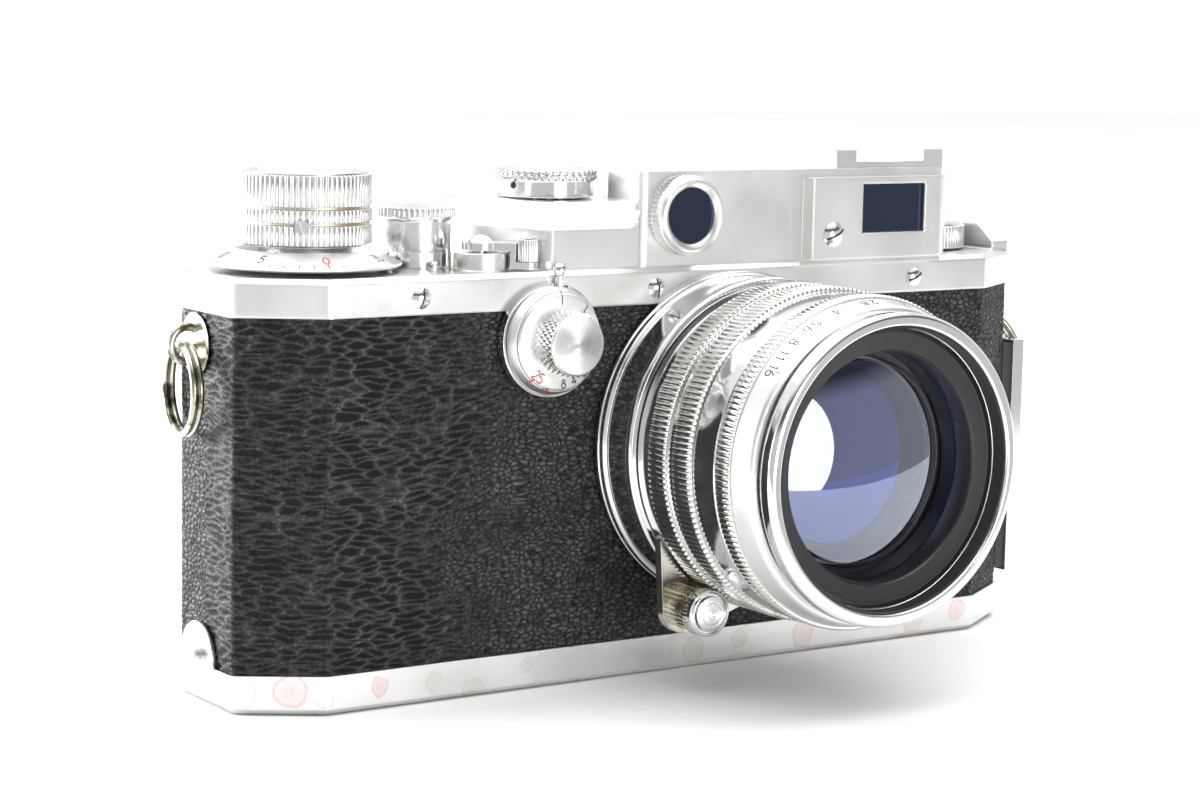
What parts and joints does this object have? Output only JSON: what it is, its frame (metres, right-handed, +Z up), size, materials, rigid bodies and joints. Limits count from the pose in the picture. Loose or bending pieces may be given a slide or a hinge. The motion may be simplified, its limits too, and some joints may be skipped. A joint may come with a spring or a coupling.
{
  "type": "rangefinder camera",
  "caption": "Compact 35 mm rangefinder camera with a faceted leather-covered body, satin chrome top and base, and a fast chrome screw-mount lens.",
  "frame": {"origin": "centre of the base plate's flat underside", "axes": "+X to the right as seen from the front, along the camera's length; lens points along -Y; +Z up"},
  "size_m": [0.1537, 0.0706, 0.0765],
  "materials": {
    "satin_chrome": "satin chrome plate, lightly stained",
    "bright_chrome": "polished chrome plate",
    "leather": "black pebbled covering",
    "black_paint": "matt black enamel",
    "inner_steel": "machined",
    "curtain_cloth": "rubberised cloth",
    "coated_glass": "polished, blue-violet coating",
    "aged_brass": "worn plate over brass, olive tarnish",
    "insulator": "moulded black"
  },
  "bodies": {
    "camera": {"body_shell": "inner_steel", "leather_covering": "leather", "top_cover": "satin_chrome", "inner_frame": "inner_steel", "film_gate": "black_paint", "pressure_plate": "black_paint", "shutter_curtains": "curtain_cloth", "curtain_rollers": "inner_steel", "lens_mount_ring": "bright_chrome", "lens_rear_barrel": "bright_chrome", "slow_dial_plate": "satin_chrome", "range_window_ring": "satin_chrome", "range_window": "coated_glass", "finder_plate": "satin_chrome", "finder_window": "coated_glass", "finder_optics": "coated_glass", "eyepiece_ring": "black_paint", "eyepiece_lens": "coated_glass", "accessory_shoe": "satin_chrome", "cover_screws": "bright_chrome", "release_collar": "satin_chrome", "strap_lugs": "aged_brass", "accessory_rail": "satin_chrome", "rail_insulator": "insulator"},
    "advance": {"wind_knob": "satin_chrome", "wind_knob_screw": "bright_chrome"},
    "counter": {"frame_counter": "satin_chrome"},
    "spool": {"take_up_spool": "black_paint"},
    "sprocket": {"film_sprocket": "inner_steel"},
    "release": {"release_button": "bright_chrome"},
    "speed": {"speed_dial": "satin_chrome"},
    "selector": {"selector_lever": "satin_chrome", "selector_grip": "satin_chrome"},
    "slow_speed": {"slow_dial": "satin_chrome"},
    "slow_lock": {"slow_dial_lock": "bright_chrome"},
    "magnifier": {"magnifier_lever": "bright_chrome"},
    "rewind_fork": {"rewind_shaft": "inner_steel"},
    "rewind_grip": {"rewind_knob": "satin_chrome"},
    "focus": {"focus_ring": "bright_chrome", "infinity_lever": "bright_chrome"},
    "infinity_catch": {"infinity_button": "bright_chrome"},
    "lens_front": {"front_barrel": "bright_chrome", "front_rim": "bright_chrome", "retaining_ring": "black_paint", "front_element": "coated_glass", "inner_elements": "coated_glass"},
    "aperture": {"aperture_ring": "satin_chrome"},
    "left_ring": {"split_ring_left": "aged_brass"},
    "right_ring": {"split_ring_right": "aged_brass"},
    "base": {"base_plate": "satin_chrome", "tripod_bush": "inner_steel"},
    "lock": {"base_lock": "satin_chrome"},
    "key": {"base_key": "satin_chrome"},
    "blade_1": {"iris_blade_1": "black_paint"},
    "blade_2": {"iris_blade_2": "black_paint"},
    "blade_3": {"iris_blade_3": "black_paint"},
    "blade_4": {"iris_blade_4": "black_paint"},
    "blade_5": {"iris_blade_5": "black_paint"},
    "blade_6": {"iris_blade_6": "black_paint"}
  },
  "joints": [
    {"name": "advance_turn", "type": "hinge", "parent": "camera", "child": "advance", "pos_m": [-0.0542, 0, 0.06], "axis": [0, 0, 1], "continuous": true},
    {"name": "counter_turn", "type": "hinge", "parent": "camera", "child": "counter", "pos_m": [-0.0542, 0, 0.061], "axis": [0, 0, 1], "continuous": true},
    {"name": "spool_turn", "type": "hinge", "parent": "camera", "child": "spool", "pos_m": [-0.0542, 0, 0.03], "axis": [0, 0, 1], "continuous": true},
    {"name": "sprocket_turn", "type": "hinge", "parent": "camera", "child": "sprocket", "pos_m": [-0.0365, 0.0042, 0.03], "axis": [0, 0, 1], "continuous": true},
    {"name": "release_press", "type": "slide", "parent": "camera", "child": "release", "axis": [0, 0, -1], "range_m": [0, 0.002], "stiffness_N_per_m": 250, "springref_m": -0.004},
    {"name": "speed_turn", "type": "hinge", "parent": "camera", "child": "speed", "pos_m": [-0.0144, 0, 0.07], "axis": [0, 0, 1], "range_deg": [0, 300]},
    {"name": "selector_swing", "type": "hinge", "parent": "camera", "child": "selector", "pos_m": [-0.0305, -0.008, 0.062], "axis": [0, 0, 1], "range_deg": [-70, 0]},
    {"name": "slow_speed_turn", "type": "hinge", "parent": "camera", "child": "slow_speed", "pos_m": [-0.0236, -0.017, 0.0504], "axis": [0, -1, 0], "range_deg": [0, 300]},
    {"name": "slow_lock_lift", "type": "slide", "parent": "camera", "child": "slow_lock", "axis": [0, 0, 1], "range_m": [0, 0.0008], "stiffness_N_per_m": 60},
    {"name": "magnifier_swing", "type": "hinge", "parent": "camera", "child": "magnifier", "pos_m": [0.027, 0.0147, 0.0665], "axis": [0, 1, 0], "range_deg": [-45, 45]},
    {"name": "rewind_turn", "type": "hinge", "parent": "camera", "child": "rewind_fork", "pos_m": [0.056, 0.0005, 0.05], "axis": [0, 0, 1], "continuous": true},
    {"name": "rewind_pull", "type": "slide", "parent": "rewind_fork", "child": "rewind_grip", "axis": [0, 0, 1], "range_m": [0, 0.006]},
    {"name": "focus_turn", "type": "hinge", "parent": "camera", "child": "focus", "pos_m": [0.0095, -0.03, 0.0346], "axis": [0, -1, 0], "range_deg": [0, 170]},
    {"name": "focus_extend", "type": "slide", "parent": "camera", "child": "lens_front", "axis": [0, -1, 0], "range_m": [0, 0.0027]},
    {"name": "infinity_press", "type": "slide", "parent": "focus", "child": "infinity_catch", "axis": [0, 1, 0], "range_m": [0, 0.0007], "stiffness_N_per_m": 120, "springref_m": -0.002},
    {"name": "aperture_turn", "type": "hinge", "parent": "lens_front", "child": "aperture", "pos_m": [0.0095, -0.046, 0.0346], "axis": [0, -1, 0], "range_deg": [0, 60]},
    {"name": "left_ring_swing", "type": "hinge", "parent": "camera", "child": "left_ring", "pos_m": [-0.0714, 0.003, 0.05], "axis": [0.1219, 0.9925, 0], "range_deg": [0, 100]},
    {"name": "right_ring_swing", "type": "hinge", "parent": "camera", "child": "right_ring", "pos_m": [0.0714, 0.003, 0.05], "axis": [0, -1, 0], "range_deg": [0, 60]},
    {"name": "base_drop", "type": "slide", "parent": "camera", "child": "base", "axis": [0, 0, -1], "range_m": [0, 0.014]},
    {"name": "lock_turn", "type": "hinge", "parent": "base", "child": "lock", "pos_m": [0.05, 0, 0.001], "axis": [0, 0, -1], "range_deg": [0, 90]},
    {"name": "key_fold", "type": "hinge", "parent": "lock", "child": "key", "pos_m": [0.05, 0, 0.00031], "axis": [-1, 0, 0], "range_deg": [0, 90]},
    {"name": "blade_1_swing", "type": "hinge", "parent": "lens_front", "child": "blade_1", "pos_m": [0.0245, -0.033, 0.0346], "axis": [0, -1, 0], "range_deg": [0, 43.2]},
    {"name": "blade_2_swing", "type": "hinge", "parent": "lens_front", "child": "blade_2", "pos_m": [0.017, -0.033, 0.04759], "axis": [0, -1, 0], "range_deg": [0, 43.2]},
    {"name": "blade_3_swing", "type": "hinge", "parent": "lens_front", "child": "blade_3", "pos_m": [0.002, -0.033, 0.04759], "axis": [0, -1, 0], "range_deg": [0, 43.2]},
    {"name": "blade_4_swing", "type": "hinge", "parent": "lens_front", "child": "blade_4", "pos_m": [-0.0055, -0.033, 0.0346], "axis": [0, -1, 0], "range_deg": [0, 43.2]},
    {"name": "blade_5_swing", "type": "hinge", "parent": "lens_front", "child": "blade_5", "pos_m": [0.002, -0.033, 0.02161], "axis": [0, -1, 0], "range_deg": [0, 43.2]},
    {"name": "blade_6_swing", "type": "hinge", "parent": "lens_front", "child": "blade_6", "pos_m": [0.017, -0.033, 0.02161], "axis": [0, -1, 0], "range_deg": [0, 43.2]}
  ],
  "couplings": [
    {"joint": "counter_turn", "follows": "advance_turn", "ratio": 0.025},
    {"joint": "spool_turn", "follows": "advance_turn", "ratio": 1},
    {"joint": "sprocket_turn", "follows": "advance_turn", "ratio": -1},
    {"joint": "focus_extend", "follows": "focus_turn", "m_per_rad": 0.000876},
    {"joint": "blade_1_swing", "follows": "aperture_turn", "ratio": 0.7167},
    {"joint": "blade_2_swing", "follows": "aperture_turn", "ratio": 0.7167},
    {"joint": "blade_3_swing", "follows": "aperture_turn", "ratio": 0.7167},
    {"joint": "blade_4_swing", "follows": "aperture_turn", "ratio": 0.7167},
    {"joint": "blade_5_swing", "follows": "aperture_turn", "ratio": 0.7167},
    {"joint": "blade_6_swing", "follows": "aperture_turn", "ratio": 0.7167}
  ]
}
